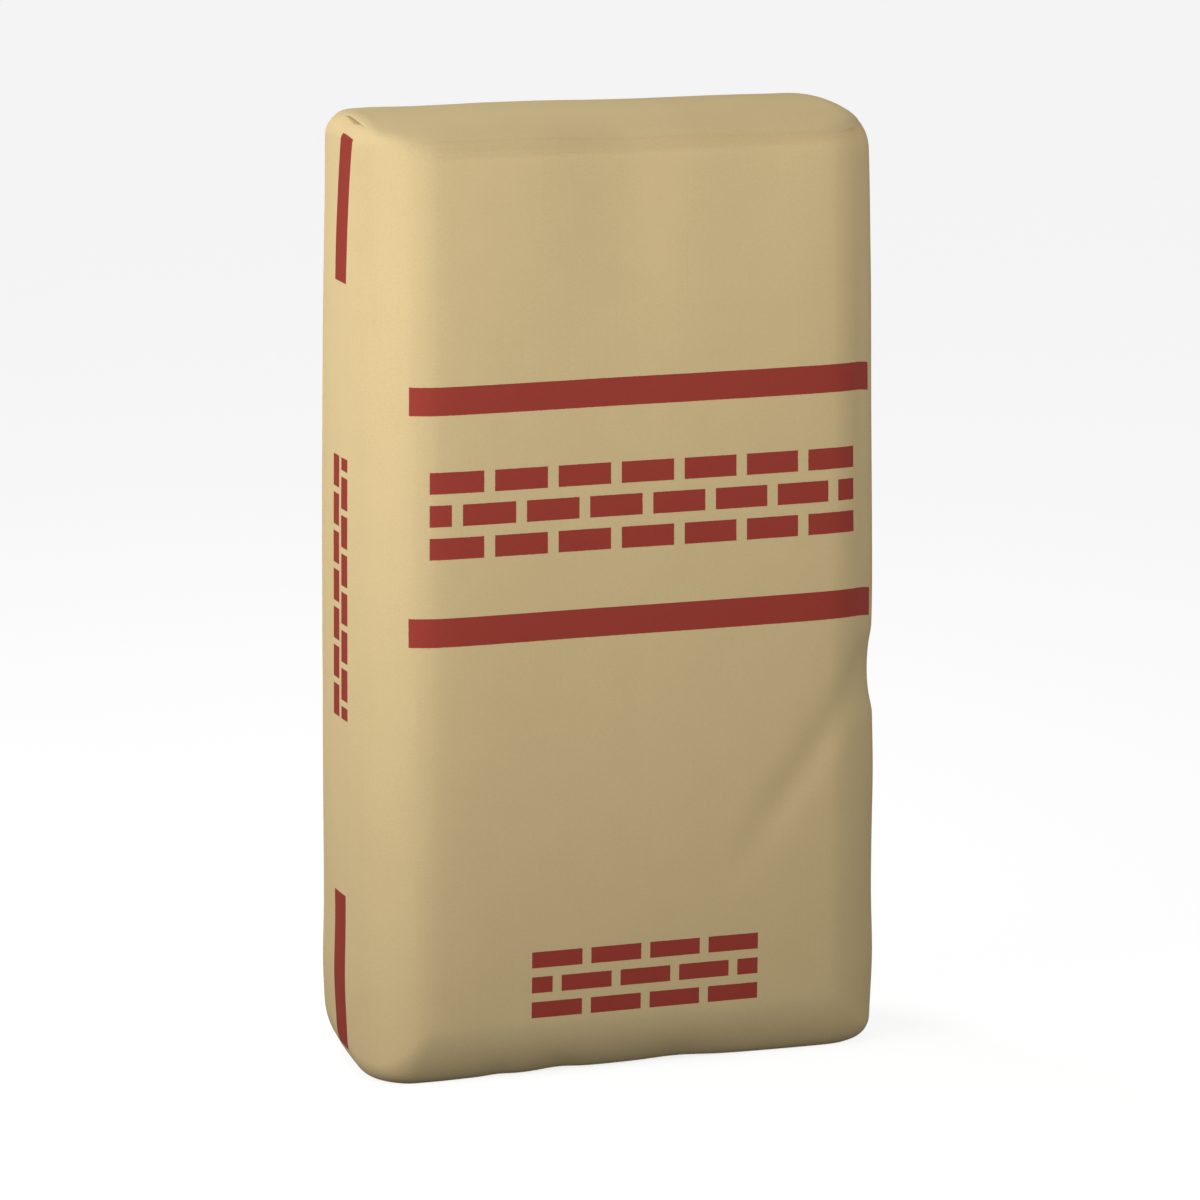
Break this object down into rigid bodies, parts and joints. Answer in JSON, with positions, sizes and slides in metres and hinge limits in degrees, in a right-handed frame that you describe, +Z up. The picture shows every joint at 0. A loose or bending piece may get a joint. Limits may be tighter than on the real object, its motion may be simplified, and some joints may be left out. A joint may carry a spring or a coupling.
{
  "type": "cement bag",
  "caption": "Filled kraft-paper block-bottom valve sack of cement standing on end, with rounded edges, pasted end sheets and plain red bands.",
  "frame": {"origin": "middle of the sack's base, on the surface that it stands on", "axes": "+Z up along the sack's height, -Y out of its printed front, -X towards its valve side"},
  "size_m": [0.2984, 0.13, 0.518],
  "materials": {
    "kraft_paper": "matt, printed with red bands",
    "cover_sheet_paper": "matt, unprinted"
  },
  "bodies": {
    "root": {"sack_body": "kraft_paper", "top_cover_sheet": "cover_sheet_paper", "bottom_cover_sheet": "cover_sheet_paper"}
  },
  "joints": []
}
